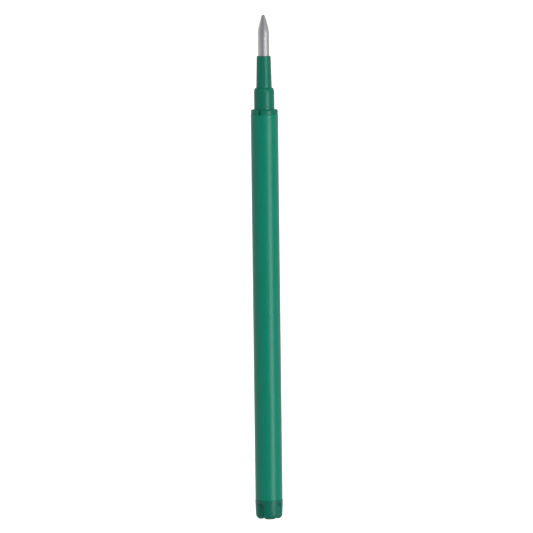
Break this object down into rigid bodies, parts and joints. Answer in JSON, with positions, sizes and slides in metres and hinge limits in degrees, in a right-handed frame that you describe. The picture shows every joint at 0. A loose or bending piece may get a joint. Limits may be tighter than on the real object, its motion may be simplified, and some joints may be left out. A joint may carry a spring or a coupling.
{
  "type": "gel ink refill",
  "caption": "Slim gel ink refill: plain tube, stepped tip holder with a slotted flange, steel cone point with a rolling ball, and a notched tail plug.",
  "frame": {"origin": "centre of the flat rear end of the tail plug, on the refill's axis", "axes": "+Z along the refill from its tail to its writing tip, -Y the front side, +X to the right of it"},
  "size_m": [0.006, 0.006, 0.111],
  "materials": {
    "tube_plastic": "extruded polypropylene, opaque green, soft gloss",
    "moulded_plastic": "moulded polypropylene, opaque green, satin",
    "point_steel": "fine turned stainless steel",
    "ball_carbide": "lapped tungsten carbide",
    "spring_steel": "drawn stainless wire",
    "ink": "wet gel ink, dark green",
    "grease": "clear to milky sealing grease",
    "float_resin": "moulded natural resin"
  },
  "bodies": {
    "refill_body": {"ink_tube": "tube_plastic", "tip_holder": "moulded_plastic", "point_body": "point_steel", "tail_plug": "moulded_plastic", "gel_ink": "ink", "feed_ink": "ink"},
    "follower": {"follower_grease": "grease", "follower_float": "float_resin"},
    "pressure_spring": {"ball_spring": "spring_steel"},
    "ball": {"writing_ball": "ball_carbide"}
  },
  "joints": [
    {"name": "follower_travel", "type": "slide", "parent": "refill_body", "child": "follower", "axis": [0, 0, 1], "range_m": [0, 0.061], "deforming": ["gel_ink"]},
    {"name": "ball_press", "type": "slide", "parent": "refill_body", "child": "pressure_spring", "axis": [0, 0, 1], "range_m": [-0.00003, 0], "stiffness_N_per_m": 200, "springref_m": 0.00075, "deforming": ["ball_spring"]},
    {"name": "ball_roll", "type": "hinge", "parent": "pressure_spring", "child": "ball", "pos_m": [0, 0, 0.11065], "axis": [1, 0, 0], "continuous": true}
  ]
}
